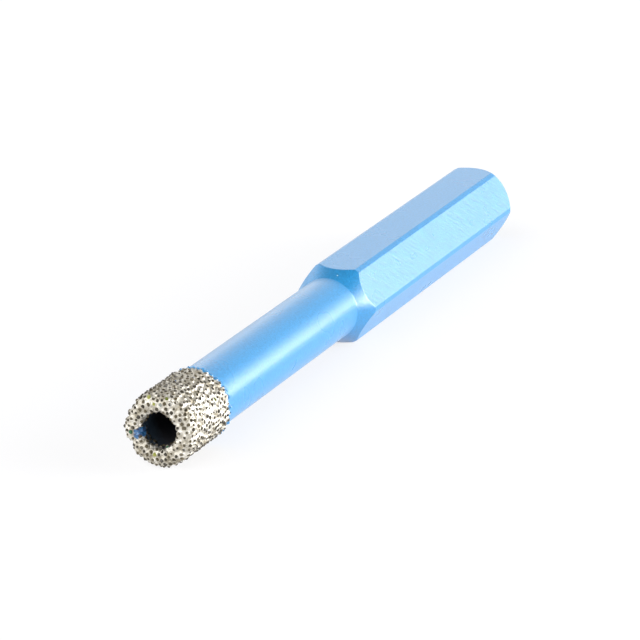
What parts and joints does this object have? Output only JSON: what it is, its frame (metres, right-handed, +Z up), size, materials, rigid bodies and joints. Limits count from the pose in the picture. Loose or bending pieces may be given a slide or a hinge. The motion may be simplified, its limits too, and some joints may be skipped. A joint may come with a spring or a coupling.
{
  "type": "diamond core drill bit",
  "caption": "Hollow cutting bit for tile and stone: a hexagonal shank and a round barrel in one piece of coated steel, with diamond grit brazed round its mouth.",
  "frame": {"origin": "centre of the shank's rear end face, on the bit's axis", "axes": "+X along the axis towards the cutting end, +Z up, square to two flats of the shank; the bit lies on the lower flat"},
  "size_m": [0.065, 0.0071, 0.0064],
  "materials": {
    "blue_coated_steel": "satin",
    "nickel_braze": "satin",
    "diamond": "gloss"
  },
  "bodies": {
    "root": {"drill_body": "blue_coated_steel", "braze_layer": "nickel_braze", "diamond_grit": "diamond"}
  },
  "joints": []
}
